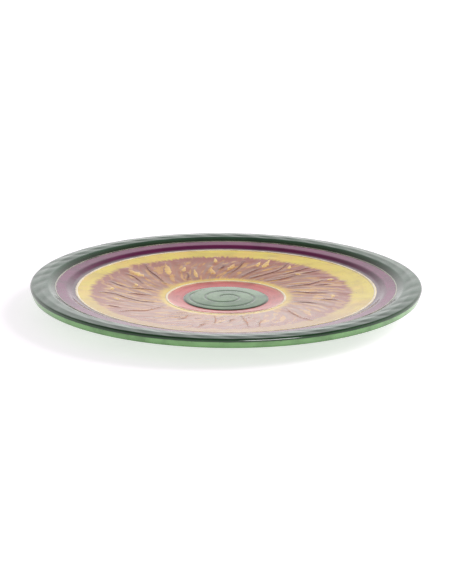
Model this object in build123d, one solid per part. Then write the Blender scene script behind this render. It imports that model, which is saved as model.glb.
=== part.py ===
from build123d import *
from math import cos, radians, sin, sqrt
import os

# A round hand painted plate, thrown in clay, turned with a foot ring, painted in bands of
# coloured glaze and edged with a twisted, rope-like rim. All sizes are in millimetres.
# The origin is on the table, under the middle of the plate. +Z is up.

# Overall
plate_diameter = 300.0      # over the outside of the lip
plate_height = 22.0         # table to the crest of the rim
floor_height = 8.5          # table to the glazed edge of the medallion

# Coats of glaze and slip
coat = 0.4                  # glaze, measured straight up from the clay
line_rise = 0.3             # slip-trailed lines stand this far above the glaze beside them
stroke_rise = 0.3           # brown brush strokes, above the field
dab_rise = 0.15             # yellow dabs, above the field
spiral_drop = 0.2           # the spiral lies this far below the medallion's glaze

# Foot ring
foot_diameter = 168.0       # over the outside, where it meets the body
foot_width = 9.0            # across the ring, where it meets the body
foot_height = 3.5           # table to the glazed underside
foot_taper = 1.0            # how much each side of the ring leans in towards its base

# Medallion and trough, from the middle outwards
medallion_radius = 31.8
medallion_crown = 0.8       # how far the middle stands above the edge
medallion_step = 0.6        # drop from the medallion's edge into the trough
step_width = 0.8
trough_width = 12.8
trough_sag = 0.25           # how far the trough's floor sags below a straight slope
trough_rise = 0.6           # outer edge of the trough, above the medallion's edge
inner_line_width = 1.9
inner_line_climb = 0.2
inner_band_width = 4.5      # thin yellow band inside the field

# Wall and rim, from the lip inwards
lip_radius = 1.6            # round outer edge of the lip
lip_facets = 3              # flats that make the lip's quarter round
flute_width = 14.0          # twisted band, lip included
flute_inner_drop = 0.6      # crest of the rim down to the inner edge of the twisted band
flute_outer_drop = 0.4      # crest of the rim down to the top of the lip
crest_inset = 7.5           # lip inwards to the crest of the rim
bevel_width = 4.9
bevel_rise = 2.35
rim_line_width = 1.1
rim_line_climb = 0.15
terrace_width = 8.0         # flatter purple band
terrace_rise = 0.8
shoulder_width = 4.0        # steep purple band
shoulder_rise = 1.9
ledge_width = 2.5           # narrow flat purple band
ledge_rise = 0.25
outer_line_width = 2.0
outer_line_climb = 0.2
outer_band_width = 12.0     # yellow band round the field
wall_height = 7.5           # crest of the rim down to the wall's lower edge
wall_draft = 1.5            # how far the wall leans in towards its lower edge

# Twist of the rim
flute_count = 42
flute_radius = 8.0          # hollow of each flute, over the glaze
flute_depth = 0.5           # deepest cut below the crest
flute_lean = 57.0           # degrees from radial, turning anticlockwise outwards
flute_overrun = 3.0         # how far a flute's cutter runs past the lip and the bevel
flute_clearance = 0.4       # how far a flute's cutter stands above the clay's crest

# Spiral on the medallion, clockwise outwards
spiral_turns = 2.0
spiral_start = 4.4          # radius of its inner end
spiral_pitch = 11.9
spiral_width = 1.3
spiral_steps = 12           # points in each turn
spiral_turn_start = 165.0   # degrees, where the inner end lies

# Brush strokes and dabs on the field. Each mark is its outer end, its bends and its inner
# end, and each place is an angle in degrees and a share of the way across the field, from
# its inner edge, 0, to its outer edge, 1. A dab has its own width as well.
stroke_width = 1.5
strokes = [
    [(3, 0.5), (5, 0.32), (9, 0.2), (14, 0.08)],
    [(17, 0.67), (18, 0.58), (20, 0.48)],
    [(26, 0.65), (24, 0.42), (25, 0.33), (29, 0.1)],
    [(40, 0.87), (41, 0.75), (43, 0.63)],
    [(44, 0.5), (45, 0.38), (47, 0.24), (53, 0.08)],
    [(47, 0.85), (48, 0.67), (51, 0.45)],
    [(59, 0.87), (58, 0.58), (62, 0.3), (69, 0.1)],
    [(70, 0.5), (72, 0.38), (77, 0.14)],
    [(81, 0.77), (82, 0.54), (84, 0.38), (88, 0.22)],
    [(91, 0.6), (92, 0.5), (94, 0.42)],
    [(117, 0.32), (119, 0.2), (123, 0.1)],
    [(131, 0.93), (135, 0.7), (138, 0.45), (145, 0.14)],
    [(148, 0.81), (150, 0.63), (156, 0.4)],
    [(164, 0.85), (167, 0.69), (169, 0.55)],
    [(169, 0.48), (168, 0.34), (165, 0.2)],
    [(180, 0.45), (181, 0.3), (180, 0.16)],
    [(183, 0.89), (184, 0.69), (190, 0.53), (197, 0.34), (199, 0.16)],
    [(205, 0.93), (207, 0.88), (209, 0.81)],
    [(216, 0.91), (217, 0.71), (219, 0.51), (213, 0.12)],
    [(244, 0.53), (245, 0.4), (243, 0.22)],
    [(258, 0.95), (259, 0.8), (260, 0.67)],
    [(264, 0.67), (264, 0.38), (261, 0.12)],
    [(272, 0.5), (273, 0.42), (275, 0.34)],
    [(280, 0.87), (281, 0.57), (282, 0.14)],
    [(285, 0.89), (287, 0.67), (290, 0.55)],
    [(309, 0.97), (310, 0.67), (316, 0.32), (322, 0.14)],
    [(341, 0.42), (343, 0.22), (344, 0.08)],
    [(347, 0.7), (348, 0.58), (349, 0.48)],
]
dabs = [
    (4.0, [(23, 0.82), (24, 0.76), (24, 0.7)]),
    (2.6, [(41.5, 0.57), (43.7, 0.56), (46, 0.54)]),
    (3.0, [(56.5, 0.82), (55, 0.73), (54, 0.66)]),
    (5.0, [(69, 0.95), (68.5, 0.7), (68.5, 0.56)]),
    (3.0, [(72.5, 0.82), (72.5, 0.68), (72, 0.57)]),
    (4.0, [(85.5, 0.66), (86.5, 0.52), (89, 0.38)]),
    (3.0, [(95.5, 0.9), (95.5, 0.78), (96, 0.68)]),
    (4.0, [(99.5, 0.48), (99.5, 0.3), (99, 0.18)]),
    (3.0, [(110, 0.46), (112, 0.28), (114, 0.1)]),
    (3.5, [(114, 0.6), (116, 0.5), (118.5, 0.42)]),
    (5.0, [(122, 0.8), (125, 0.6), (130, 0.38)]),
    (6.0, [(143, 0.92), (144, 0.75), (145, 0.55)]),
    (3.0, [(158.5, 0.5), (161, 0.46), (164, 0.42)]),
    (3.5, [(172.5, 0.76), (175, 0.74), (178, 0.75)]),
    (3.5, [(191, 0.76), (193, 0.7), (196, 0.66)]),
    (3.0, [(351, 0.6), (354, 0.62), (358, 0.6)]),
]

# Radii from the middle outwards
trough_edge = medallion_radius + trough_width
inner_line_edge = trough_edge + inner_line_width
inner_band_edge = inner_line_edge + inner_band_width

# Radii from the lip inwards
lip_edge = plate_diameter / 2
crest_radius = lip_edge - crest_inset
flute_edge = lip_edge - flute_width
rim_line_edge = flute_edge - bevel_width
terrace_edge = rim_line_edge - rim_line_width
shoulder_edge = terrace_edge - terrace_width
ledge_edge = shoulder_edge - shoulder_width
outer_line_edge = ledge_edge - ledge_width
outer_band_edge = outer_line_edge - outer_line_width
field_edge = outer_band_edge - outer_band_width

# Heights of the clay's surface, under the coats, from the middle outwards
medallion_level = floor_height - coat
trough_edge_level = medallion_level + trough_rise
field_start_level = trough_edge_level + inner_line_climb

# Heights of the clay's surface, from the rim inwards
crest_level = plate_height - coat
flute_edge_level = crest_level - flute_inner_drop
rim_line_edge_level = flute_edge_level - bevel_rise
terrace_edge_level = rim_line_edge_level - rim_line_climb
shoulder_edge_level = terrace_edge_level - terrace_rise
ledge_edge_level = shoulder_edge_level - shoulder_rise
outer_line_edge_level = ledge_edge_level - ledge_rise
field_end_level = outer_line_edge_level - outer_line_climb

# Lip and wall. The clay's lip and the glazed lip share one centre.
lip_centre_radius = lip_edge - lip_radius
lip_centre_level = plate_height - flute_outer_drop - lip_radius
wall_foot_radius = lip_edge - wall_draft
wall_foot_level = plate_height - wall_height
foot_outer = foot_diameter / 2
foot_inner = foot_outer - foot_width


def field_level(radius):
    # The clay's height under the field, which is one straight slope.
    share = (radius - inner_line_edge) / (outer_band_edge - inner_line_edge)
    return field_start_level + share * (field_end_level - field_start_level)


def joined(places):
    # Straight lines from each place to the next.
    return [Line(start, end) for start, end in zip(places, places[1:])]


def slope(start_radius, end_radius):
    # A stretch of the field's slope, between two radii.
    return joined([(radius, field_level(radius)) for radius in (start_radius, end_radius)])


def sagging(start, end, sag):
    # An arc between two points that sags below the straight line between them.
    middle = ((start[0] + end[0]) / 2, (start[1] + end[1]) / 2 - sag)
    return ThreePointArc(start, middle, end)


def medallion_top():
    # A shallow dome, level at the middle.
    dome_radius = (medallion_radius**2 + medallion_crown**2) / (2 * medallion_crown)
    dome_centre = medallion_level + medallion_crown - dome_radius
    half = medallion_radius / 2
    half_level = dome_centre + sqrt(dome_radius**2 - half**2)
    crown = (0, medallion_level + medallion_crown)
    return [ThreePointArc(crown, (half, half_level), (medallion_radius, medallion_level))]


def trough_top():
    # A small step down, then a shallow trough that climbs to the inner line.
    edge = (medallion_radius, medallion_level)
    bottom = (medallion_radius + step_width, medallion_level - medallion_step)
    return [Line(edge, bottom), sagging(bottom, (trough_edge, trough_edge_level), trough_sag)]


def inner_line_top():
    return joined([(trough_edge, trough_edge_level), (inner_line_edge, field_start_level)])


def outer_line_top():
    return joined([(outer_band_edge, field_end_level), (outer_line_edge, outer_line_edge_level)])


def purple_top():
    # Ledge, shoulder and terrace.
    return joined([
        (outer_line_edge, outer_line_edge_level),
        (ledge_edge, ledge_edge_level),
        (shoulder_edge, shoulder_edge_level),
        (terrace_edge, terrace_edge_level),
    ])


def rim_line_top():
    return joined([(terrace_edge, terrace_edge_level), (rim_line_edge, rim_line_edge_level)])


def rim_top(cover):
    # Bevel, twisted band, lip and wall, with a cover of 0 on the clay or one coat on top.
    round_radius = lip_radius - coat + cover
    places = [
        (rim_line_edge, rim_line_edge_level + cover),
        (flute_edge, flute_edge_level + cover),
        (crest_radius, crest_level + cover),
    ]
    for facet in range(lip_facets + 1):
        turn = radians(90 - 90 * facet / lip_facets)
        radius = lip_centre_radius + round_radius * cos(turn)
        places.append((radius, lip_centre_level + round_radius * sin(turn)))
    places.append(wall_corner(cover))
    return joined(places)


def wall_corner(cover):
    # Lower edge of the wall, on the clay or on top of the coat.
    return (wall_foot_radius - coat + cover, wall_foot_level + coat - cover)


def back_root(cover):
    # Where the underside meets the outside of the foot ring.
    return (foot_outer, foot_height + coat - cover)


def well_root(cover):
    # Where the underside meets the inside of the foot ring.
    return (foot_inner, foot_height + coat - cover)


def turned(outline):
    # A solid turned from a closed outline of radius and height.
    return revolve(Plane.XZ * make_face(outline), Axis.Z)


def raised(path, rise):
    return [edge.moved(Location((0, rise, 0))) for edge in path]


def coat_over(path, thickness, base=0.0):
    # A thin ring that lies on a stretch of the surface.
    under = raised(path, base)
    over = raised(path, base + thickness)
    start = Line(under[0] @ 0, over[0] @ 0)
    end = Line(under[-1] @ 1, over[-1] @ 1)
    return turned([*under, end, *over, start])


def flutes(radius):
    # The cutters of the twisted band. Each is the lower part of a level cylinder that lies
    # across the rim, on a line that leans away from the plate's radius.
    height = flute_depth + coat + flute_clearance
    half = sqrt(radius**2 - (radius - height) ** 2)
    left = (-half, height - radius)
    right = (half, height - radius)
    section = make_face([ThreePointArc(left, (0, -radius), right), Line(right, left)])
    reach = crest_radius * sin(radians(flute_lean))
    near = sqrt((flute_edge - flute_overrun) ** 2 - reach**2)
    far = sqrt((lip_edge + flute_overrun) ** 2 - reach**2) + flute_overrun
    level = plate_height - flute_depth + flute_radius
    start = Plane((near, -reach, level), x_dir=(0, 1, 0), z_dir=(1, 0, 0))
    bar = extrude(start * section, far - near)
    return [Rot(0, 0, 360 * turn / flute_count) * bar for turn in range(flute_count)]


def make_clay_body():
    edges = []
    for path in [
        medallion_top(),
        trough_top(),
        inner_line_top(),
        slope(inner_line_edge, outer_band_edge),
        outer_line_top(),
        purple_top(),
        rim_line_top(),
        rim_top(0),
    ]:
        edges += path
    underside = Polyline(
        wall_corner(0),
        back_root(0),
        back_root(coat),
        (foot_outer - foot_taper, 0),
        (foot_inner + foot_taper, 0),
        well_root(coat),
        well_root(0),
        (0, foot_height + coat),
        (0, medallion_level + medallion_crown),
    )
    return turned([*edges, *underside.edges()]) - flutes(flute_radius + coat)


def make_rim_glaze(clay):
    # The whole rim under the glaze's surface, less the clay.
    under = Polyline(
        wall_corner(coat),
        wall_corner(0),
        (rim_line_edge, rim_line_edge_level),
        (rim_line_edge, rim_line_edge_level + coat),
    )
    rim = turned([*rim_top(coat), *under.edges()]) - flutes(flute_radius)
    return rim - clay


def make_back_glaze():
    corners = [wall_corner(0), back_root(0), back_root(coat), wall_corner(coat), wall_corner(0)]
    return turned(Polyline(*corners).edges())


def make_well_back_glaze():
    axis_top = (0, foot_height + coat)
    corners = [axis_top, (0, foot_height), well_root(coat), well_root(0), axis_top]
    return turned(Polyline(*corners).edges())


def field_spot(angle, share):
    radius = inner_band_edge + share * (field_edge - inner_band_edge)
    return Vector(radius * cos(radians(angle)), radius * sin(radians(angle)))


def leaf(places, width):
    # A pointed brush mark, seen from above, widest between its two ends.
    spots = [field_spot(angle, share) for angle, share in places]
    left = [spots[0]]
    right = [spots[0]]
    for before, here, after in zip(spots, spots[1:], spots[2:]):
        along = (after - before).normalized()
        across = Vector(-along.Y, along.X) * width / 2
        left.append(here + across)
        right.append(here - across)
    left.append(spots[-1])
    right.append(spots[-1])
    return make_face([Spline(*left), Spline(*right)])


def painted(marks, rise):
    # Brush marks that stand on the field's glaze, one solid for each.
    skin = coat_over(slope(inner_band_edge, field_edge), rise, base=coat)
    solids = [(extrude(mark, plate_height) & skin).solid() for mark in marks]
    return Compound(children=solids)


def spiral_prism():
    # The spiral's outline, seen from above, made into an upright wall.
    left = []
    right = []
    for step in range(int(spiral_turns * spiral_steps) + 1):
        turn = step / spiral_steps
        angle = radians(spiral_turn_start - 360 * turn)
        radius = spiral_start + spiral_pitch * turn
        aim = Vector(cos(angle), sin(angle))
        left.append(aim * (radius - spiral_width / 2))
        right.append(aim * (radius + spiral_width / 2))
    caps = [Line(left[0], right[0]), Line(left[-1], right[-1])]
    return extrude(make_face([Spline(*left), Spline(*right), *caps]), plate_height)


def make_nodes():
    clay = make_clay_body()
    spiral = spiral_prism()
    return {
        "clay_body": clay,
        "medallion_glaze": coat_over(medallion_top(), coat) - spiral,
        "medallion_spiral": coat_over(medallion_top(), coat - spiral_drop) & spiral,
        "red_glaze": coat_over(trough_top(), coat),
        "inner_cream_line": coat_over(inner_line_top(), coat + line_rise),
        "inner_yellow_line": coat_over(slope(inner_line_edge, inner_band_edge), coat),
        "field_glaze": coat_over(slope(inner_band_edge, field_edge), coat),
        "brown_strokes": painted([leaf(places, stroke_width) for places in strokes], stroke_rise),
        "flame_dabs": painted([leaf(places, width) for width, places in dabs], dab_rise),
        "yellow_glaze": coat_over(slope(field_edge, outer_band_edge), coat),
        "outer_cream_line": coat_over(outer_line_top(), coat + line_rise),
        "purple_glaze": coat_over(purple_top(), coat),
        "rim_line": coat_over(rim_line_top(), coat + line_rise),
        "rim_glaze": make_rim_glaze(clay),
        "back_glaze": make_back_glaze(),
        "well_back_glaze": make_well_back_glaze(),
    }


os.makedirs("parts", exist_ok=True)
for name, shape in make_nodes().items():
    export_step(shape, f"parts/{name}.step")
    print(name, round(shape.volume, 1))
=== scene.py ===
import math
from functools import cache

import bmesh
import bpy
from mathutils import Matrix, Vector, kdtree, noise


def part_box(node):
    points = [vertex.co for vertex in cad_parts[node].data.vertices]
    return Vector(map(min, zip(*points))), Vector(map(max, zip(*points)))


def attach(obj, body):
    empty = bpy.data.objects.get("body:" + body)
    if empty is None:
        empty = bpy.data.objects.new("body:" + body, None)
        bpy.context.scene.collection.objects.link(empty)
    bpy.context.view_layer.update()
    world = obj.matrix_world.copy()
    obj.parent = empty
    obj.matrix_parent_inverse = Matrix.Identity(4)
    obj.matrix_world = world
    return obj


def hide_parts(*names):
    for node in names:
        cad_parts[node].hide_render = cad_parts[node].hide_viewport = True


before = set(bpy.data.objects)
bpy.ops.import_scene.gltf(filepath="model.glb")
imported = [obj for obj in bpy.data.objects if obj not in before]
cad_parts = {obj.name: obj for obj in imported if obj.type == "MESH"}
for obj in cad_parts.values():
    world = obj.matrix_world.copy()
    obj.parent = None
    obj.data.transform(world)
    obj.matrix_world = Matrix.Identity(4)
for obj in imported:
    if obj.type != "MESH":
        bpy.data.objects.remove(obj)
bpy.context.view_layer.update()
mm = 0.001               # sizes below are in millimetres, as a potter would give them
print("frame loaded")


@cache
def nodeBox(node):
    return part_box(node)


def outerRadius(node):
    low, high = nodeBox(node)
    return max(-low.x, -low.y, high.x, high.y) / mm


def lowLevel(node):
    return nodeBox(node)[0].z / mm


def highLevel(node):
    return nodeBox(node)[1].z / mm


studio = {
    "cameraElevation": 16.16,    # degrees above the table
    "cameraDistance": 1800.0,
    "cameraRoll": 0.38,          # degrees
    "lens": 144.3,
    "shiftUp": 0.0101,
    "floorSize": 9000.0,
    "floorColour": (0.74, 0.65, 0.74),
    "floorGlow": 0.62,           # lifts the shadows, as a lit table does
    "wallGlow": 1.5,             # brightness of the white wall behind, at the table
    "roomGlow": 0.22,            # brightness of the ceiling
    "frontShare": 0.45,          # how much of the wall's brightness is left behind the camera
    "lights": [                  # place, size, power in watts and what it lights
        ("sideLight", (1850, 450, 1450), 1300, 40.0, "colour"),
        ("glintLight", (620, -1350, 330), 800, 30.0, "gloss"),
    ],
}


def buildCamera():
    camera = bpy.data.objects.new("camera", bpy.data.cameras.new("camera"))
    bpy.context.scene.collection.objects.link(camera)
    aim = Vector((0, 0, lowLevel("medallion_glaze") + 0.4)) * mm
    lift = math.radians(studio["cameraElevation"])
    away = Vector((0, -math.cos(lift), math.sin(lift))) * studio["cameraDistance"] * mm
    camera.location = aim + away
    camera.rotation_euler = (-away).to_track_quat("-Z", "Y").to_euler()
    camera.rotation_euler.rotate_axis("Z", math.radians(studio["cameraRoll"]))
    camera.data.lens = studio["lens"]
    camera.data.shift_y = studio["shiftUp"]
    camera.data.clip_start = 0.05
    bpy.context.scene.camera = camera


class Wire:
    # a value in a shader; sums on it add Math nodes
    def __init__(self, sheet, socket):
        self.sheet = sheet
        self.socket = socket

    def work(self, operation, *values):
        sockets = dict(enumerate(values))
        made = self.sheet.node("ShaderNodeMath", {"operation": operation}, sockets)
        return Wire(self.sheet, made.outputs[0])

    def __add__(self, other):
        return self.work("ADD", self, other)

    def __sub__(self, other):
        return self.work("SUBTRACT", self, other)

    def __rsub__(self, other):
        return self.work("SUBTRACT", other, self)

    def __mul__(self, other):
        return self.work("MULTIPLY", self, other)

    def __truediv__(self, other):
        return self.work("DIVIDE", self, other)

    def __pow__(self, other):
        return self.work("POWER", self, other)

    __radd__ = __add__
    __rmul__ = __mul__


class Sheet:
    # one material or world and its nodes
    def __init__(self, holder, place="Object", unit=mm):
        self.holder = holder
        self.holder.use_nodes = True
        self.tree = self.holder.node_tree
        self.tree.nodes.clear()
        self.point = self.node("ShaderNodeVectorMath", {"operation": "SCALE"}, {
            0: self.node("ShaderNodeTexCoord").outputs[place], "Scale": 1 / unit}).outputs[0]
        split = self.node("ShaderNodeSeparateXYZ", {}, {0: self.point})
        self.x, self.y, self.z = (Wire(self, socket) for socket in split.outputs)
        self.radius = (self.x * self.x + self.y * self.y) ** 0.5

    def node(self, kind, settings=None, sockets=None):
        made = self.tree.nodes.new(kind)
        for name, value in (settings or {}).items():
            if name == "stops":
                for spot, _ in value[2:]:
                    made.color_ramp.elements.new(spot)
                for stop, (spot, colour) in zip(made.color_ramp.elements, value):
                    stop.position = spot
                    stop.color = (*colour, 1)
            else:
                setattr(made, name, value)
        for name, value in (sockets or {}).items():
            if isinstance(value, Wire):
                value = value.socket
            if isinstance(value, bpy.types.NodeSocket):
                self.tree.links.new(value, made.inputs[name])
            else:
                made.inputs[name].default_value = value
        return made

    def mask(self, value, start, end):
        # 0 up to start and 1 from end on, smoothly
        made = self.node("ShaderNodeMapRange", {"interpolation_type": "SMOOTHSTEP"},
                         {"Value": value, "From Min": start, "From Max": end})
        return Wire(self, made.outputs[0])

    def noise(self, size, detail=3, vector=None, rough=0.5):
        # clouds about this many millimetres across, from 0 to 1
        made = self.node("ShaderNodeTexNoise", {}, {
            "Vector": vector or self.point, "Scale": 1 / size, "Detail": detail, "Roughness": rough})
        return Wire(self, made.outputs[0])

    def swept(self, around, across, start=0.0, lean=0.0):
        # a place for noise that runs with the wheel: features around, millimetres across each,
        # and how many degrees it turns on every 100 mm outwards
        turn = self.radius * math.radians(-lean / 100)
        sine, cosine = turn.work("SINE", turn), turn.work("COSINE", turn)
        across = self.radius / across + start
        x, y = self.x / self.radius * around, self.y / self.radius * around
        made = self.node("ShaderNodeCombineXYZ", {}, {
            0: x * cosine - y * sine, 1: x * sine + y * cosine, 2: across})
        return made.outputs[0]

    def mix(self, share, first, second, blend="MIX"):
        sockets = {0: share}
        for index, colour in ((6, first), (7, second)):
            sockets[index] = (*colour, 1) if isinstance(colour, tuple) else colour
        made = self.node("ShaderNodeMix", {"data_type": "RGBA", "blend_type": blend}, sockets)
        return made.outputs[2]

    def ramp(self, value, stops):
        made = self.node("ShaderNodeValToRGB", {"stops": stops}, {0: value})
        return made.outputs[0]

    def attribute(self, name):
        made = self.node("ShaderNodeAttribute", {"attribute_name": name})
        return Wire(self, made.outputs["Fac"])


def tint(red, green, blue):
    # a colour as a picker shows it, made linear
    shares = [channel / 255 for channel in (red, green, blue)]
    return tuple(s / 12.92 if s < 0.04 else ((s + 0.055) / 1.055) ** 2.4 for s in shares)


glazeLook = {
    "cloudSize": 16.0,        # kiln clouds
    "cloudShare": 0.35,
    "streakShare": 0.3,       # brush marks round the wheel
    "streakWidth": 2.2,
    "speckSize": 1.5,
    "speckShare": 0.55,
    "gloss": 0.1,             # roughness of clean glaze
    "wornGloss": 0.22,
    "ripple": 0.05,           # height of the glaze's own ripple, in millimetres
    "rippleSize": 5.0,
    "ior": 1.5,
}


def glaze(name, colouring, dark, **changes):
    # A fired glaze: its own colouring, then clouds, brush marks, specks and a wet gloss.
    look = {**glazeLook, **changes}
    sheet = Sheet(bpy.data.materials.new(name))
    colour = colouring(sheet)
    cloud = sheet.mask(sheet.noise(look["cloudSize"], 4), 0.42, 0.72)
    colour = sheet.mix(cloud * look["cloudShare"], colour, dark)
    streak = sheet.noise(1.0, 2, sheet.swept(3.5, look["streakWidth"]))
    colour = sheet.mix(sheet.mask(streak, 0.45, 0.75) * look["streakShare"], colour, dark)
    light = sheet.mask(sheet.noise(1.0, 2, sheet.swept(3.0, look["streakWidth"] * 1.7, 9.0)), 0.5, 0.8)
    colour = sheet.mix(light * look["streakShare"] * 0.6, colour, (1, 1, 1), "SOFT_LIGHT")
    speck = sheet.mask(sheet.noise(look["speckSize"], 1), 0.7, 0.78)
    colour = sheet.mix(speck * look["speckShare"], colour, dark, "MULTIPLY")
    worn = sheet.mask(sheet.noise(9.0, 5, rough=0.65), 0.45, 0.75)
    gloss = look["gloss"] + worn * (look["wornGloss"] - look["gloss"])
    ripple = sheet.noise(look["rippleSize"], 2) + speck * 0.3 - sheet.noise(1.1, 1) * 0.12
    bump = sheet.node("ShaderNodeBump", {}, {
        "Strength": 0.8, "Distance": look["ripple"] * mm, "Height": ripple})
    shader = sheet.node("ShaderNodeBsdfPrincipled", {}, {
        "Base Color": colour, "Roughness": gloss, "Normal": bump.outputs[0], "IOR": look["ior"]})
    sheet.node("ShaderNodeOutputMaterial", {}, {0: shader.outputs[0]})
    return sheet.holder


def buildLights():
    for name, place, size, power, lit in studio["lights"]:
        lamp = bpy.data.lights.new(name, "AREA")
        lamp.size = size * mm
        lamp.energy = power
        light = bpy.data.objects.new(name, lamp)
        light.location = Vector(place) * mm
        light.rotation_euler = (-light.location).to_track_quat("-Z", "Y").to_euler()
        light.visible_diffuse = lit == "colour"
        light.visible_glossy = lit == "gloss"
        bpy.context.scene.collection.objects.link(light)
    # a white room: bright walls, a dimmer ceiling and less light behind the camera
    sheet = Sheet(bpy.data.worlds.new("whiteRoom"), "Generated", 1.0)
    wall = 1 - sheet.mask(sheet.z, 0.15, 0.85)
    side = studio["frontShare"] + sheet.mask(sheet.y, -0.7, 0.2) * (1 - studio["frontShare"])
    glow = wall * side * (studio["wallGlow"] - studio["roomGlow"]) + studio["roomGlow"]
    room = sheet.node("ShaderNodeBackground", {}, {"Color": glow})
    sheet.node("ShaderNodeOutputWorld", {}, {0: room.outputs[0]})
    bpy.context.scene.world = sheet.holder
    bpy.context.scene.view_settings.view_transform = "Standard"


plate = {
    "stepWidth": 0.8,          # medallion's edge down into the trough
    "troughSag": 0.25,
    "ledgeWidth": 2.5,
    "ledgeRise": 0.25,
    "shoulderWidth": 4.0,
    "shoulderRise": 1.9,
    "bevelWidth": 4.9,
    "fluteDrop": 0.6,          # crest down to the inner edge of the twisted band
    "crestInset": 7.5,
    "lipRadius": 1.6,
    "lipDrop": 0.4,            # crest down to the top of the lip
    "wallDraft": 1.5,
    "cornerRound": 0.7,        # lower edge of the wall
    "melt": 0.9,               # how far the glaze rounds every corner
    "crispMelt": 0.4,          # the same on the medallion, the trough and the rim
    "wobble": 0.28,            # how far the painted rings stray from true
    "warp": 0.16,              # how far the plate is from flat
}
coat = highLevel("well_back_glaze") - lowLevel("well_back_glaze")
troughBottom = lowLevel("red_glaze") + coat
troughTop = highLevel("red_glaze")
medallionEdge = outerRadius("medallion_glaze")
medallionRim = lowLevel("medallion_glaze") + coat
medallionTop = highLevel("medallion_glaze")
troughEdge = outerRadius("red_glaze")
innerLineEdge = outerRadius("inner_cream_line")
innerBandEdge = outerRadius("inner_yellow_line")
fieldEdge = outerRadius("field_glaze")
bandEdge = outerRadius("yellow_glaze")
outerLineEdge = outerRadius("outer_cream_line")
terraceEdge = outerRadius("purple_glaze")
rimLineEdge = outerRadius("rim_line")
plateEdge = outerRadius("rim_glaze")
plateTop = highLevel("rim_glaze")
fluteEdge = rimLineEdge + plate["bevelWidth"]
crestRadius = plateEdge - plate["crestInset"]
lipCentre = plateEdge - plate["lipRadius"]
lipLevel = plateTop - plate["lipDrop"] - plate["lipRadius"]
wallFoot = plateEdge - plate["wallDraft"]
wallFootLevel = lowLevel("rim_glaze")
backLevel = lowLevel("back_glaze")

corners = [
    (troughEdge, highLevel("red_glaze")),
    (innerLineEdge, lowLevel("inner_yellow_line") + coat),
    (bandEdge, highLevel("yellow_glaze")),
    (outerLineEdge, lowLevel("purple_glaze") + coat),
    (outerLineEdge + plate["ledgeWidth"], lowLevel("purple_glaze") + coat + plate["ledgeRise"]),
    (outerLineEdge + plate["ledgeWidth"] + plate["shoulderWidth"],
     lowLevel("purple_glaze") + coat + plate["ledgeRise"] + plate["shoulderRise"]),
    (terraceEdge, highLevel("purple_glaze")),
    (rimLineEdge, lowLevel("rim_line") + coat + 0.15),
    (fluteEdge, plateTop - plate["fluteDrop"]),
    (crestRadius, plateTop),
    (plateEdge, plateTop - plate["lipDrop"] * (plateEdge - crestRadius) / (lipCentre - crestRadius)),
]


def sharpLevel(radius):
    # height of the glazed surface before the glaze melts over its corners
    if radius < medallionEdge:
        return medallionTop - (medallionTop - medallionRim) * (radius / medallionEdge) ** 2
    stepEnd = medallionEdge + plate["stepWidth"]
    if radius < stepEnd:
        return medallionRim + (troughBottom - medallionRim) * (radius - medallionEdge) / plate["stepWidth"]
    if radius < troughEdge:
        share = (radius - stepEnd) / (troughEdge - stepEnd)
        sag = 4 * plate["troughSag"] * share * (1 - share)
        return troughBottom + (troughTop - troughBottom) * share - sag
    for (start, startLevel), (end, endLevel) in zip(corners, corners[1:]):
        if radius <= end:
            return startLevel + (endLevel - startLevel) * (radius - start) / (end - start)
    return corners[-1][1]


def level(radius):
    # the same, rounded
    if radius > lipCentre - plate["melt"] * 2:
        return sharpLevel(radius)
    reach = plate["melt"] if troughEdge < radius < terraceEdge else plate["crispMelt"]
    shares = (-1.0, -0.5, 0.0, 0.5, 1.0)
    return sum(sharpLevel(abs(radius + share * reach)) for share in shares) / len(shares)


def smooth(value, start, end):
    share = min(max((value - start) / (end - start), 0.0), 1.0)
    return share * share * (3 - 2 * share)


twist = {
    "count": 42,
    "stepsPerFlute": 14,
    "depth": 0.17,
    "lean": 57.0,           # degrees from radial
    "narrowness": 1.5,      # above 1 the hollows are narrower than the ridges
    "innerStart": -0.6,     # from the bevel's top, where a flute begins
    "innerFull": 3.8,
    "lipShare": 0.3,        # how much of the depth is left on the lip
}


def fluteHollow(radius, angle):
    # 1 in the middle of a flute and 0 on the ridge between two
    reach = crestRadius * math.sin(math.radians(twist["lean"]))
    turn = angle + math.asin(min(reach / radius, 1.0))
    wave = 0.5 + 0.5 * math.cos(twist["count"] * turn)
    starts = smooth(radius, fluteEdge + twist["innerStart"], fluteEdge + twist["innerFull"])
    return wave ** twist["narrowness"] * starts


def handmade(mesh, hollowLayer=None):
    # Cuts the flutes, then lets the rings stray and the plate warp a little, as thrown ware does.
    for vert in mesh.verts:
        x, y, z = vert.co / mm
        radius = math.hypot(x, y)
        if radius < 0.001:
            continue
        angle = math.atan2(y, x)
        out = Vector((x, y, 0)) / radius
        if z > lipLevel - 3.0 and radius > rimLineEdge:
            hollow = fluteHollow(radius, angle)
            fade = 1 - (1 - twist["lipShare"]) * smooth(radius, lipCentre - 3, lipCentre + 1)
            fade *= smooth(z, lipLevel - 2.0, lipLevel + 0.8)
            away = out * max(radius - lipCentre, 0) + Vector((0, 0, max(z - lipLevel, 0)))
            vert.co -= away.normalized() * hollow * fade * twist["depth"] * mm
            if hollowLayer is not None:
                vert[hollowLayer] = hollow * fade
        drift = noise.noise(Vector((math.cos(angle) * 1.4, math.sin(angle) * 1.4, radius / 60)))
        drift += 0.4 * noise.noise(Vector((math.cos(angle) * 5, math.sin(angle) * 5, radius / 9)))
        strength = plate["wobble"] * min(radius / 20, 1) * smooth(plateEdge - radius, 0, 12)
        bend = noise.noise(Vector((math.cos(angle) * 1.1, math.sin(angle) * 1.1, 7.3)))
        lift = plate["warp"] * bend * (radius / plateEdge) ** 2 * smooth(z, 1, 8)
        vert.co += (out * drift * strength + Vector((0, 0, lift))) * mm


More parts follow.
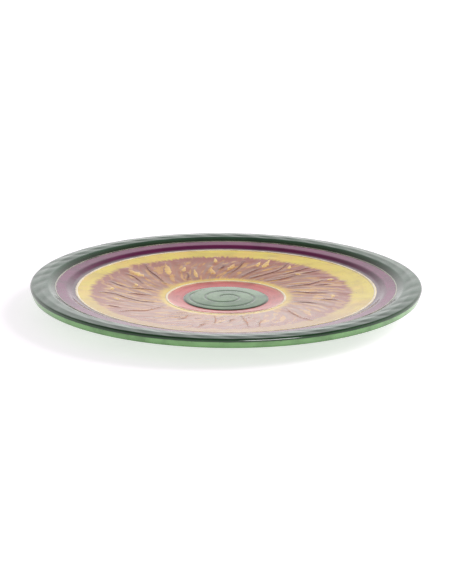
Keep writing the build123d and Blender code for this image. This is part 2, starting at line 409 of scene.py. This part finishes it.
def spun(section, steps):
    # turns a closed section of radius and height right round
    mesh = bmesh.new()
    verts = [mesh.verts.new((radius * mm, 0, height * mm)) for radius, height in section]
    edges = [mesh.edges.new(pair) for pair in zip(verts, verts[1:])]
    if section[0][0] > 0:
        edges.append(mesh.edges.new((verts[-1], verts[0])))
    bmesh.ops.spin(mesh, geom=verts + edges, axis=(0, 0, 1), cent=(0, 0, 0),
                   angle=math.tau, steps=steps, use_merge=True)
    bmesh.ops.remove_doubles(mesh, verts=mesh.verts, dist=0.0001 * mm)
    return mesh


creaseAngle = 50.0       # degrees; sharper edges than this stay crisp


def handOver(name, mesh, material, slot, *nodes):
    bmesh.ops.remove_doubles(mesh, verts=mesh.verts, dist=0.0001 * mm)
    bmesh.ops.recalc_face_normals(mesh, faces=mesh.faces)
    for edge in mesh.edges:
        edge.smooth = edge.calc_face_angle(0) < math.radians(creaseAngle)
    for face in mesh.faces:
        face.smooth = True
    made = bpy.data.meshes.new(name)
    mesh.to_mesh(made)
    mesh.free()
    made.materials.append(material)
    piece = bpy.data.objects.new(name, made)
    bpy.context.scene.collection.objects.link(piece)
    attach(piece, "root")
    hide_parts(*nodes)
    print("made", name, len(made.polygons), "faces")


def spread(start, end, step):
    # radii from start to end, about one step apart
    count = max(int(round(abs(end - start) / step)), 1)
    return [start + (end - start) * index / count for index in range(count + 1)]


def coatSection(start, end, step, rise=0.0):
    # A coat on the top of the plate. With a rise it stands up as a rounded line.
    top = []
    for radius in spread(start, end, step):
        share = (radius - start) / (end - start)
        swell = rise * (4 * share * (1 - share)) ** 0.5
        top.append((radius, level(radius) + swell))
    under = [(radius, level(radius) - coat) for radius in spread(end, start, 2.0)]
    if start == 0:
        under[-1] = (0, under[-1][1])
    return top + under


bands = {
    "roundSteps": 360,
    "step": 0.8,
    "lineStep": 0.25,
    "lineRise": 0.3,
    "lineEdge": 0.15,        # share of a line's width taken by each darker edge
}


def shaded(stops):
    # a colouring that changes with the radius, from pairs of radius and colour
    def colouring(sheet):
        first, last = stops[0][0], stops[-1][0]
        place = (sheet.radius + (sheet.noise(14.0, 2) - 0.5) * 1.6 - first) / (last - first)
        return sheet.ramp(place, [((radius - first) / (last - first), colour) for radius, colour in stops])
    return colouring


def buildRedTrough():
    look = {
        "green": tint(42, 62, 36),
        "deep": tint(196, 22, 26),
        "pink": tint(210, 92, 88),
        "pale": tint(216, 118, 104),
        "dark": tint(120, 24, 26),
        "backShadeShift": 2.4,        # millimetres the deep red ring is pushed towards the back, as painted shade behind the medallion
        "ringWidth": 2.4,
    }

    def colouring(sheet):
        # A deep red ring round the medallion, the glaze's own colour, made wider at the back of the trough
        # as painted shade behind the medallion.
        place = sheet.radius - sheet.y / sheet.radius * look["backShadeShift"]
        place = place + (sheet.noise(9.0, 2) - 0.5) * 1.5
        ringEnd = medallionEdge + look["ringWidth"]
        colour = sheet.mix(sheet.mask(place, ringEnd - 1.2, ringEnd + 1.6), look["deep"], look["pink"])
        colour = sheet.mix(sheet.mask(sheet.radius, troughEdge - 4, troughEdge - 1), colour, look["pale"])
        seam = sheet.mask(sheet.radius, medallionEdge + 0.8, medallionEdge + 1.3)
        return sheet.mix(seam, look["green"], colour)

    mesh = spun(coatSection(medallionEdge, troughEdge, bands["step"]), bands["roundSteps"])
    handmade(mesh)
    handOver("redGlaze", mesh, glaze("redGlaze", colouring, look["dark"]), "red_glaze", "red_glaze")


def buildLines():
    look = {
        "cream": tint(240, 224, 188),
        "creamEdge": tint(218, 184, 128),
        "creamDark": tint(196, 150, 92),
        "pale": tint(164, 156, 140),
        "paleEdge": tint(84, 74, 64),
        "paleDark": tint(90, 78, 68),
    }
    lines = [
        ("innerCreamLine", troughEdge, innerLineEdge, "cream", "cream_slip", "inner_cream_line"),
        ("outerCreamLine", bandEdge, outerLineEdge, "cream", "cream_slip", "outer_cream_line"),
        ("rimLine", terraceEdge, rimLineEdge, "pale", "pale_slip", "rim_line"),
    ]
    for name, start, end, colour, slot, node in lines:
        edge = (end - start) * bands["lineEdge"]
        stops = [(start, look[colour + "Edge"]), (start + edge, look[colour]),
                 (end - edge, look[colour]), (end, look[colour + "Edge"])]
        mesh = spun(coatSection(start, end, bands["lineStep"], bands["lineRise"]), bands["roundSteps"])
        handmade(mesh)
        handOver(name, mesh, glaze(name, shaded(stops), look[colour + "Dark"]), slot, node)


def buildPurple():
    look = {
        "ledge": tint(112, 84, 98),
        "steep": tint(94, 16, 66),
        "terrace": tint(124, 36, 92),
        "edge": tint(124, 56, 96),
        "dark": tint(46, 6, 32),
    }
    ledge = outerLineEdge + plate["ledgeWidth"]
    shoulder = ledge + plate["shoulderWidth"]
    # The colour follows the slope: the flat ledge is a paler grey-lilac, a painted reflection; the steep
    # shoulder is darker, painted shade; the terrace lies between.
    stops = [
        (outerLineEdge, look["ledge"]), (ledge - 0.5, look["ledge"]), (ledge + 0.8, look["steep"]),
        (shoulder - 0.5, look["steep"]), (shoulder + 2.0, look["terrace"]),
        (terraceEdge - 1.5, look["terrace"]), (terraceEdge, look["edge"])]
    mesh = spun(coatSection(outerLineEdge, terraceEdge, bands["step"]), bands["roundSteps"])
    handmade(mesh)
    handOver("purpleGlaze", mesh, glaze("purpleGlaze", shaded(stops), look["dark"], ior=1.42),
             "purple_glaze", "purple_glaze")


def rimPath(cover):
    # Bevel, twisted band, lip and wall, on the glaze with a cover of one coat, or on the clay with 0.
    path = [(radius, level(radius) - coat + cover) for radius in spread(rimLineEdge, lipCentre, 0.6)]
    size = plate["lipRadius"] - coat + cover
    for turn in (75, 60, 45, 30, 15, 0):
        slant = math.radians(turn)
        path.append((lipCentre + size * math.cos(slant), lipLevel + size * math.sin(slant)))
    foot = Vector((wallFoot - coat + cover, wallFootLevel + coat - cover))
    side = Vector((lipCentre + size, lipLevel))
    path += [tuple(side.lerp(foot, share)) for share in (0.2, 0.4, 0.6, 0.8)]
    upper = foot + (side - foot).normalized() * plate["cornerRound"]
    lower = foot + Vector((-1, -0.17)).normalized() * plate["cornerRound"]
    for share in (0.0, 0.33, 0.67, 1.0):
        path.append(tuple(upper.lerp(foot, share).lerp(foot.lerp(lower, share), share)))
    return path


def buildRim():
    look = {
        "ridge": tint(54, 84, 64),
        "hollow": tint(46, 74, 54),
        "bevel": tint(40, 68, 44),
        "foot": tint(30, 46, 22),
        "lip": tint(22, 58, 26),
        "wall": tint(118, 164, 104),
        "wallFoot": tint(92, 136, 78),
        "dark": tint(14, 34, 20),
    }

    def colouring(sheet):
        hollow = sheet.attribute("hollow")
        stray = (sheet.noise(11.0, 2) - 0.5) * 1.4
        # Flute hollows are painted darker than the ridges: painted shade in the hollows.
        top = sheet.mix(sheet.mask(hollow + (sheet.noise(4.0, 2) - 0.5) * 0.3, 0.1, 0.8),
                        look["ridge"], look["hollow"])
        top = sheet.mix(sheet.mask(sheet.radius + stray, fluteEdge - 2, fluteEdge + 1), look["bevel"], top)
        top = sheet.mix(1 - sheet.mask(sheet.radius + stray * 0.5, rimLineEdge + 1.4, rimLineEdge + 3.4),
                        top, look["foot"])
        # The wall is painted darker towards its lower edge: painted shade where it turns under.
        wall = sheet.mix(sheet.mask(sheet.z + stray, wallFootLevel, wallFootLevel + 2.2),
                         look["wallFoot"], look["wall"])
        side = sheet.mask(sheet.radius, lipCentre - 0.6, lipCentre + 0.8)
        below = 1 - sheet.mask(sheet.z + stray * 0.3, lipLevel - 1.3, lipLevel - 0.5)
        colour = sheet.mix(side, top, look["lip"])
        outside = sheet.mask(sheet.radius, wallFoot - 3, wallFoot - 2.6)
        return sheet.mix(below * outside, colour, wall)

    section = rimPath(coat) + rimPath(0)[::-1]
    mesh = spun(section, twist["count"] * twist["stepsPerFlute"])
    handmade(mesh, mesh.verts.layers.float.new("hollow"))
    handOver("rimGlaze", mesh, glaze("rimGlaze", colouring, look["dark"], streakShare=0.15),
             "rim_green_glaze", "rim_glaze")


field = {
    "roundSteps": 720,
    "step": 0.7,
    "strokeWidth": 1.5,
    "strokeRise": 0.22,
    "dabRise": 0.2,
    "ragged": 0.5,           # how uneven a mark's width is
    "haloReach": 3.6,        # how far a dab's colour runs into the field
    "shadeReach": 1.8,
    "ridge": 0.16,           # height of the clay pushed up beside the marks
    "swirl": 0.12,           # height of the brush swirls in the glaze
    "lean": 42.0,            # degrees the swirls turn on every 100 mm inwards
}

# Each mark is its outer end, its bends and its inner end. A place is an angle in degrees and
# a share of the way across the field. A dab or a fleck has its width in front.
strokes = [
    [(3, 0.5), (5, 0.32), (9, 0.2), (14, 0.08)],
    [(17, 0.67), (18, 0.58), (20, 0.48)],
    [(26, 0.65), (24, 0.42), (25, 0.33), (29, 0.1)],
    [(40, 0.87), (41, 0.75), (43, 0.63)],
    [(44, 0.5), (45, 0.38), (47, 0.24), (53, 0.08)],
    [(47, 0.85), (48, 0.67), (51, 0.45)],
    [(59, 0.87), (58, 0.58), (62, 0.3), (69, 0.1)],
    [(70, 0.5), (72, 0.38), (77, 0.14)],
    [(81, 0.77), (82, 0.54), (84, 0.38), (88, 0.22)],
    [(91, 0.6), (92, 0.5), (94, 0.42)],
    [(117, 0.32), (119, 0.2), (123, 0.1)],
    [(131, 0.93), (135, 0.7), (138, 0.45), (145, 0.14)],
    [(148, 0.81), (150, 0.63), (156, 0.4)],
    [(164, 0.85), (167, 0.69), (169, 0.55)],
    [(169, 0.48), (168, 0.34), (165, 0.2)],
    [(180, 0.45), (181, 0.3), (180, 0.16)],
    [(183, 0.89), (184, 0.69), (190, 0.53), (197, 0.34), (199, 0.16)],
    [(205, 0.93), (207, 0.88), (209, 0.81)],
    [(216, 0.91), (217, 0.71), (219, 0.51), (213, 0.12)],
    [(244, 0.53), (245, 0.4), (243, 0.22)],
    [(258, 0.95), (259, 0.8), (260, 0.67)],
    [(264, 0.67), (264, 0.38), (261, 0.12)],
    [(272, 0.5), (273, 0.42), (275, 0.34)],
    [(280, 0.87), (281, 0.57), (282, 0.14)],
    [(285, 0.89), (287, 0.67), (290, 0.55)],
    [(309, 0.97), (310, 0.67), (316, 0.32), (322, 0.14)],
    [(341, 0.42), (343, 0.22), (344, 0.08)],
    [(347, 0.7), (348, 0.58), (349, 0.48)],
]
dabs = [
    (4.0, [(23, 0.82), (24, 0.76), (24, 0.7)]),
    (2.6, [(41.5, 0.57), (43.7, 0.56), (46, 0.54)]),
    (3.0, [(56.5, 0.82), (55, 0.73), (54, 0.66)]),
    (5.0, [(69, 0.95), (68.5, 0.7), (68.5, 0.56)]),
    (3.0, [(72.5, 0.82), (72.5, 0.68), (72, 0.57)]),
    (4.0, [(85.5, 0.66), (86.5, 0.52), (89, 0.38)]),
    (3.0, [(95.5, 0.9), (95.5, 0.78), (96, 0.68)]),
    (4.0, [(99.5, 0.48), (99.5, 0.3), (99, 0.18)]),
    (3.0, [(110, 0.46), (112, 0.28), (114, 0.1)]),
    (3.5, [(114, 0.6), (116, 0.5), (118.5, 0.42)]),
    (5.0, [(122, 0.8), (125, 0.6), (130, 0.38)]),
    (6.0, [(143, 0.92), (144, 0.75), (145, 0.55)]),
    (3.0, [(158.5, 0.5), (161, 0.46), (164, 0.42)]),
    (3.5, [(172.5, 0.76), (175, 0.74), (178, 0.75)]),
    (3.5, [(191, 0.76), (193, 0.7), (196, 0.66)]),
    (3.0, [(351, 0.6), (354, 0.62), (358, 0.6)]),
]

# Small flecks, coloured and slightly raised in the field's own glaze.
flecks = [
    (2.2, [(47, 0.42), (48, 0.38), (49, 0.34)]),
    (2.0, [(111, 0.76), (112, 0.73), (113, 0.7)]),
    (1.8, [(115, 0.82), (115.5, 0.77), (116, 0.73)]),
    (1.6, [(132, 0.82), (132.5, 0.74), (133, 0.67)]),
    (2.0, [(4, 0.75), (6, 0.73), (8, 0.7)]),
    (2.0, [(205, 0.3), (208, 0.27), (211, 0.24)]),
    (2.0, [(28, 0.4), (31, 0.3), (33, 0.2)]),
    (1.6, [(81.5, 0.34), (82.5, 0.24), (83, 0.12)]),
    (2.0, [(148, 0.28), (151, 0.24), (154, 0.2)]),
    (2.8, [(160, 0.8), (163, 0.66), (166, 0.55)]),
    (3.0, [(167, 0.82), (170, 0.66), (173, 0.56)]),
    (2.6, [(182, 0.8), (185, 0.66), (188, 0.58)]),
    (2.6, [(186, 0.6), (192, 0.5), (198, 0.4)]),
    (2.4, [(199, 0.8), (202, 0.68), (206, 0.6)]),
    (3.0, [(38, 0.8), (40, 0.74), (42, 0.7)]),
    (3.4, [(28, 0.86), (30, 0.78), (32, 0.72)]),
    (3.4, [(17, 0.88), (19, 0.8), (21, 0.74)]),
    (3.0, [(10, 0.82), (12, 0.74), (15, 0.64)]),
    (2.6, [(358, 0.84), (361, 0.76), (364, 0.68)]),
    (2.2, [(50, 0.7), (53, 0.6), (56, 0.5)]),
    (2.0, [(62, 0.62), (65, 0.5), (68, 0.36)]),
    (2.0, [(238, 0.5), (241, 0.4), (240, 0.3)]),
    (2.2, [(252, 0.62), (254, 0.5), (252, 0.38)]),
    (2.2, [(268, 0.6), (270, 0.5), (268, 0.36)]),
    (2.0, [(286, 0.5), (284, 0.4), (286, 0.3)]),
    (2.2, [(297, 0.6), (300, 0.5), (303, 0.4)]),
    (2.0, [(320, 0.6), (322, 0.45), (327, 0.3)]),
    (2.0, [(335, 0.7), (338, 0.6), (341, 0.5)]),
]


def fieldSpot(angle, share):
    radius = innerBandEdge + share * (fieldEdge - innerBandEdge)
    return Vector((radius * math.cos(math.radians(angle)), radius * math.sin(math.radians(angle))))


def markLine(places, count):
    # points along a smooth line through a mark's places, each with its direction and share of the way
    spots = [fieldSpot(*place) for place in places]
    spots = [spots[0] * 2 - spots[1]] + spots + [spots[-1] * 2 - spots[-2]]
    line = []
    for index in range(count + 1):
        far = index / count * (len(spots) - 3)
        part = min(int(far), len(spots) - 4)
        t = far - part
        a, b, c, d = spots[part:part + 4]
        point = 0.5 * (2 * b + (c - a) * t + (2 * a - 5 * b + 4 * c - d) * t * t
                       + (3 * b - a - 3 * c + d) * t ** 3)
        aim = 0.5 * ((c - a) + 2 * (2 * a - 5 * b + 4 * c - d) * t + 3 * (3 * b - a - 3 * c + d) * t * t)
        line.append((point, aim.normalized(), index / count))
    return line


def nearness(lines, reach):
    # how near a place is to any of these lines: 1 on one of them, and 0 past its own reach
    points = [(point, width) for places, width in lines for point, _, _ in markLine(places, 14)]
    tree = kdtree.KDTree(len(points))
    for index, (point, _) in enumerate(points):
        tree.insert((point.x, point.y, 0), index)
    tree.balance()

    def measure(place):
        _, index, distance = tree.find((place.x, place.y, 0))
        width = points[index][1]
        return 1 - smooth(distance, width * 0.3, width * 0.5 + reach)
    return measure


def swirl(place):
    # height of the brush swirls from -1 to 1, none at the field's two edges
    radius = math.hypot(place.x, place.y)
    angle = math.atan2(place.y, place.x) + math.radians(field["lean"]) * radius / 100
    wave = noise.noise(Vector((math.cos(angle) * 17, math.sin(angle) * 17, radius / 22)))
    return wave * smooth(radius, innerBandEdge, innerBandEdge + 6) * smooth(fieldEdge - radius, 0, 12)


dabReach = nearness([(places, width) for width, places in dabs], field["haloReach"])
fleckReach = nearness([(places, width) for width, places in flecks], field["haloReach"] * 0.8)
markReach = nearness([(places, field["strokeWidth"]) for places in strokes], field["shadeReach"])


def lift(place):
    # how far the clay is pushed up here
    most = max(dabReach(place), markReach(place), fleckReach(place) * 0.7)
    return most * field["ridge"] + swirl(place) * field["swirl"]


def brushMark(mesh, places, width, rise, fullest, count=24, sides=10):
    # A closed bead along the mark, pointed at both ends: a grid wrapped round its line.
    made = bmesh.ops.create_grid(mesh, x_segments=count, y_segments=sides, size=0.5)
    line = markLine(places, count)
    for vert in made["verts"]:
        along = min(max(int(round((vert.co.x + 0.5) * count)), 0), count)
        point, aim, share = line[along]
        turn = math.tau * (vert.co.y + 0.5)
        across = math.cos(turn)
        side = 7.0 if across > 0 else 0.0
        uneven = 1 + field["ragged"] * noise.noise(Vector((point.x / 2.2, point.y / 2.2, side)))
        swell = math.sin(math.pi * share ** fullest) ** 0.7 * uneven
        place = point + Vector((-aim.y, aim.x)) * across * width / 2 * swell
        height = level(place.length) + lift(place) + math.sin(turn) * abs(math.sin(turn)) * rise * swell
        vert.co = Vector((place.x, place.y, height)) * mm


def buildMarks(name, marks, fullest, material, slot, node):
    # a mark is fullest halfway along at 1, and nearer its inner end above 1
    mesh = bmesh.new()
    for places, width, rise in marks:
        brushMark(mesh, places, width, rise, fullest)
    bmesh.ops.remove_doubles(mesh, verts=mesh.verts, dist=0.002 * mm)
    handmade(mesh)
    handOver(name, mesh, material, slot, node)


fieldColours = {
    "mauve": tint(174, 100, 64),
    "deepMauve": tint(158, 74, 54),
    "lilac": tint(164, 116, 96),
    "warm": tint(218, 158, 64),
    "yellow": tint(228, 202, 36),
    "paleYellow": tint(232, 194, 56),
    "flame": tint(240, 196, 100),
    "tan": tint(176, 118, 66),
    "shade": tint(104, 48, 36),
    "dark": tint(128, 66, 44),
    "stroke": tint(128, 60, 44),
    "strokeLight": tint(150, 82, 60),
    "strokeFront": tint(206, 140, 104),
    "strokeDark": tint(84, 36, 28),
    "dab": tint(238, 196, 96),
    "dabDeep": tint(228, 172, 90),
    "dabDark": tint(190, 116, 60),
}


def frontness(sheet):
    # 1 at the front of the plate and 0 at its sides and back
    return 1 - sheet.mask(sheet.y / sheet.radius, -0.8, -0.2)


def fieldColouring(sheet):
    # Mauve between two yellow bands, with frayed borders that lean to one side of the plate.
    look = fieldColours
    fray = (sheet.noise(1.0, 3, sheet.swept(52.0, 16.0)) - 0.5) * 9.0
    fray = fray + (sheet.noise(1.0, 2, sheet.swept(9.0, 60.0, 3.0)) - 0.5) * 7.0
    place = sheet.radius + fray
    lean = (sheet.x * 0.91 + sheet.y * 0.42) / sheet.radius
    border = fieldEdge - 0.8 - lean * 3.8
    streak = sheet.noise(1.0, 4, sheet.swept(20.0, 24.0, 4.0, -field["lean"]))
    colour = sheet.mix(sheet.mask(streak, 0.3, 0.62), look["lilac"], look["mauve"])
    gold = sheet.noise(1.0, 3, sheet.swept(13.0, 12.0, 9.0, -field["lean"]))
    side = sheet.x / sheet.radius
    gold = sheet.mask(gold + (streak - 0.5) * 0.5 + side * side * 0.05, 0.54, 0.66)
    colour = sheet.mix(gold * 0.8, colour, look["warm"])
    ring = sheet.mask(place - border, -16.0, -7.0)
    colour = sheet.mix(ring * (1.0 - gold * 0.6), colour, look["deepMauve"])
    shade = sheet.attribute("shade") * (0.55 - frontness(sheet) * 0.4)
    colour = sheet.mix(shade, colour, look["shade"])
    flame = sheet.attribute("flame") + (sheet.noise(4.0, 2) - 0.5) * 0.55
    colour = sheet.mix(sheet.mask(flame, 0.3, 0.6), colour, look["flame"])
    yellow = sheet.mix(sheet.mask(sheet.noise(20.0, 3), 0.4, 0.65), look["yellow"], look["paleYellow"])
    # The yellow turns tan towards the front of the plate.
    frontTan = 1 - sheet.mask(sheet.y / sheet.radius + (sheet.noise(30.0, 2) - 0.5) * 0.3, -0.95, -0.1)
    yellow = sheet.mix(frontTan * 0.9, yellow, look["tan"])
    colour = sheet.mix(sheet.mask(place - border, -3.0, 2.2), colour, yellow)
    inner = 1 - sheet.mask(sheet.radius + fray * 0.6, innerBandEdge - 3.0, innerBandEdge + 2.4)
    return sheet.mix(inner, colour, look["paleYellow"])


def strokeColouring(sheet):
    look = fieldColours
    front = frontness(sheet)
    colour = sheet.mix(sheet.mask(sheet.noise(5.0, 3), 0.35, 0.7), look["stroke"], look["strokeLight"])
    # Strokes turn a lighter peach towards the front of the plate.
    return sheet.mix(front * 0.8, colour, look["strokeFront"])


def dabColouring(sheet):
    look = fieldColours
    return sheet.mix(sheet.mask(sheet.noise(4.0, 3), 0.35, 0.7), look["dab"], look["dabDeep"])


def buildField():
    coats = [
        ("innerYellowLine", innerLineEdge, innerBandEdge, "yellow_glaze", "inner_yellow_line"),
        ("fieldGlaze", innerBandEdge, fieldEdge, "mauve_glaze", "field_glaze"),
        ("yellowGlaze", fieldEdge, bandEdge, "yellow_glaze", "yellow_glaze"),
    ]
    material = glaze("fieldGlaze", fieldColouring, fieldColours["dark"], cloudShare=0.25, streakShare=0.1)
    for name, start, end, slot, node in coats:
        mesh = spun(coatSection(start, end, field["step"]), field["roundSteps"])
        flame = mesh.verts.layers.float.new("flame")
        shade = mesh.verts.layers.float.new("shade")
        for vert in mesh.verts:
            place = vert.co / mm
            vert[flame] = max(dabReach(place), fleckReach(place) * 0.95)
            vert[shade] = markReach(place)
            vert.co.z += lift(place) * mm
        handmade(mesh)
        handOver(name, mesh, material, slot, node)

    paint = glaze("brownPaint", strokeColouring, fieldColours["strokeDark"],
                  gloss=0.3, wornGloss=0.42, ior=1.4)
    buildMarks("brownStrokes", [(places, field["strokeWidth"], field["strokeRise"]) for places in strokes],
               1.0, paint, "brown_paint", "brown_strokes")
    yolk = glaze("yellowPaint", dabColouring, fieldColours["dabDark"], gloss=0.2, wornGloss=0.3)
    buildMarks("flameDabs", [(places, width, field["dabRise"]) for width, places in dabs],
               1.5, yolk, "yellow_glaze", "flame_dabs")


medallion = {
    "roundSteps": 240,
    "step": 0.5,
    "turns": 2.0,             # clockwise outwards
    "start": 4.4,             # radius of the spiral's inner end
    "pitch": 11.9,
    "startAngle": 165.0,
    "grooveWidth": 3.2,
    "grooveDepth": 0.28,
    "lineWidth": 1.3,
    "lineRise": 0.1,          # half the thickness of the glaze bead in the groove
    "lineSteps": 150,
    "lineSides": 6,
}


def spiralPoint(turn):
    angle = math.radians(medallion["startAngle"] - 360 * turn)
    radius = medallion["start"] + medallion["pitch"] * turn
    return Vector((radius * math.cos(angle), radius * math.sin(angle)))


def grooveShare(x, y):
    # 1 in the middle of the spiral's groove and 0 outside it
    radius = math.hypot(x, y)
    around = (medallion["startAngle"] - math.degrees(math.atan2(y, x))) % 360 / 360
    nearest = 99.0
    for whole in range(4):
        turn = min(max(around + whole, 0), medallion["turns"])
        nearest = min(nearest, abs(radius - medallion["start"] - medallion["pitch"] * turn)
                      + 9 * abs(turn - around - whole))
    return 1 - smooth(nearest, 0, medallion["grooveWidth"] / 2)


def buildMedallion():
    look = {
        "light": tint(104, 138, 96),
        "green": tint(82, 116, 80),
        "edge": tint(40, 66, 34),
        "dark": tint(50, 78, 52),
        "groove": tint(46, 68, 48),
    }

    def colouring(sheet):
        colour = sheet.mix(sheet.mask(sheet.noise(12.0, 4), 0.35, 0.7), look["light"], look["green"])
        colour = sheet.mix(sheet.attribute("groove") * 0.8, colour, look["groove"])
        place = sheet.radius + (sheet.noise(8.0, 2) - 0.5) * 1.5
        return sheet.mix(sheet.mask(place, medallionEdge - 1.6, medallionEdge), colour, look["edge"])

    mesh = spun(coatSection(0, medallionEdge, medallion["step"]), medallion["roundSteps"])
    layer = mesh.verts.layers.float.new("groove")
    floor = lowLevel("medallion_glaze") - coat
    for vert in mesh.verts:
        x, y, z = vert.co / mm
        share = grooveShare(x, y)
        vert[layer] = share
        if z > level(math.hypot(x, y)) - coat / 2:
            vert.co.z -= share * medallion["grooveDepth"] * mm
        else:
            vert.co.z -= 0.1 * mm
    handmade(mesh)
    handOver("medallionGlaze", mesh, glaze("medallionGlaze", colouring, look["dark"]),
             "centre_green_glaze", "medallion_glaze")

    mesh = bmesh.new()
    made = bmesh.ops.create_grid(mesh, x_segments=medallion["lineSteps"],
                                 y_segments=medallion["lineSides"], size=0.5)
    for vert in made["verts"]:
        along = (vert.co.x + 0.5) * medallion["turns"]
        point = spiralPoint(along)
        aim = (spiralPoint(along + 0.01) - point).normalized()
        swell = min(1, 6 * min(along, medallion["turns"] - along) + 0.05) ** 0.5
        turn = math.tau * (vert.co.y + 0.5)
        place = point + Vector((-aim.y, aim.x)) * math.cos(turn) * medallion["lineWidth"] / 2 * swell
        bead = math.sin(turn) * medallion["lineRise"] * swell
        height = level(place.length) - medallion["grooveDepth"] + bead
        vert.co = Vector((place.x, place.y, height)) * mm
    handmade(mesh)
    material = glaze("spiralGlaze", lambda sheet: sheet.mix(
        sheet.mask(sheet.noise(7.0, 3), 0.35, 0.7), look["groove"], look["dark"]), look["dark"])
    handOver("medallionSpiral", mesh, material, "centre_dark_glaze", "medallion_spiral")


back = {
    "footOuter": 84.0,
    "footTaper": 1.0,
    "roundSteps": 336,
    "turning": 0.07,          # height of the turning rings left by the tool
    "turningPitch": 5.5,
}


def buildBack():
    clayLook = {"light": tint(216, 198, 168), "dark": tint(176, 150, 118)}
    glazeColours = {"light": tint(104, 148, 92), "deep": tint(80, 122, 70), "dark": tint(44, 76, 40)}
    footInner = outerRadius("well_back_glaze")
    footOuter = back["footOuter"]

    def ringed(radius, height):
        return (radius, height + back["turning"] * math.sin(math.tau * radius / back["turningPitch"]))

    def underside(height):
        path = []
        for radius in spread(wallFoot - 3, footOuter + 1.5, 2.0):
            share = (radius - footOuter) / (wallFoot - footOuter)
            path.append(ringed(radius, height + share * (wallFootLevel - backLevel)))
        return path

    corner = rimPath(0)[-1]
    top = [(radius, level(radius) - coat) for radius in spread(0, rimLineEdge, 1.5)]
    foot = [
        (footOuter, backLevel + coat), (footOuter, backLevel), (footOuter - back["footTaper"], 0.4),
        (footOuter - back["footTaper"] - 0.4, 0), (footInner + back["footTaper"] + 0.4, 0),
        (footInner + back["footTaper"], 0.4), (footInner, backLevel), (footInner, backLevel + coat)]
    well = [ringed(radius, backLevel + coat) for radius in spread(footInner - 1, 0, 2.5)]
    well[-1] = (0, well[-1][1])
    section = top + rimPath(0)[1:] + underside(backLevel + coat) + foot + well
    mesh = spun(section, back["roundSteps"])
    handmade(mesh)

    sheet = Sheet(bpy.data.materials.new("firedClay"))
    grain = sheet.noise(0.9, 3)
    colour = sheet.mix(sheet.mask(sheet.noise(18.0, 4), 0.35, 0.7), clayLook["light"], clayLook["dark"])
    colour = sheet.mix(sheet.mask(grain, 0.62, 0.72) * 0.6, colour, clayLook["dark"])
    bump = sheet.node("ShaderNodeBump", {}, {"Strength": 0.7, "Distance": 0.15 * mm, "Height": grain})
    shader = sheet.node("ShaderNodeBsdfPrincipled", {}, {
        "Base Color": colour, "Roughness": 0.75 + grain * 0.2, "Normal": bump.outputs[0]})
    sheet.node("ShaderNodeOutputMaterial", {}, {0: shader.outputs[0]})
    handOver("clayBody", mesh, sheet.holder, "fired_clay", "clay_body")

    def colouring(sheet):
        return sheet.mix(sheet.mask(sheet.noise(26.0, 4), 0.35, 0.7),
                         glazeColours["light"], glazeColours["deep"])

    material = glaze("backGlaze", colouring, glazeColours["dark"])
    outside = [rimPath(coat)[-1]] + underside(backLevel) + [(footOuter + 0.2, backLevel)]
    inside = [(footOuter + 0.2, backLevel + coat)] + underside(backLevel + coat)[::-1] + [corner]
    mesh = spun(outside + inside, back["roundSteps"])
    handmade(mesh)
    handOver("backGlaze", mesh, material, "back_green_glaze", "back_glaze")

    under = [ringed(radius, backLevel) for radius in spread(footInner - 0.3, 0, 2.5)]
    over = [ringed(radius, backLevel + coat) for radius in spread(0, footInner - 0.3, 2.5)]
    under[-1] = (0, under[-1][1])
    over[0] = (0, over[0][1])
    mesh = spun(under[::-1] + over[::-1], back["roundSteps"])
    handmade(mesh)
    handOver("wellBackGlaze", mesh, material, "back_green_glaze", "well_back_glaze")


def buildFloor():
    sheet = Sheet(bpy.data.materials.new("floor"))
    shader = sheet.node("ShaderNodeBsdfPrincipled", {}, {
        "Base Color": (*studio["floorColour"], 1), "Roughness": 0.9,
        "Emission Color": (1, 1, 1, 1), "Emission Strength": studio["floorGlow"]})
    sheet.node("ShaderNodeOutputMaterial", {}, {0: shader.outputs[0]})
    mesh = bmesh.new()
    bmesh.ops.create_grid(mesh, x_segments=4, y_segments=4, size=studio["floorSize"] / 2 * mm)
    made = bpy.data.meshes.new("floor")
    mesh.to_mesh(made)
    mesh.free()
    made.materials.append(sheet.holder)
    floor = bpy.data.objects.new("floor", made)
    bpy.context.scene.collection.objects.link(floor)


buildCamera()
buildLights()
buildFloor()
print("studio ready")
buildMedallion()
buildRedTrough()
buildLines()
buildField()
buildPurple()
buildRim()
buildBack()
print("plate ready")
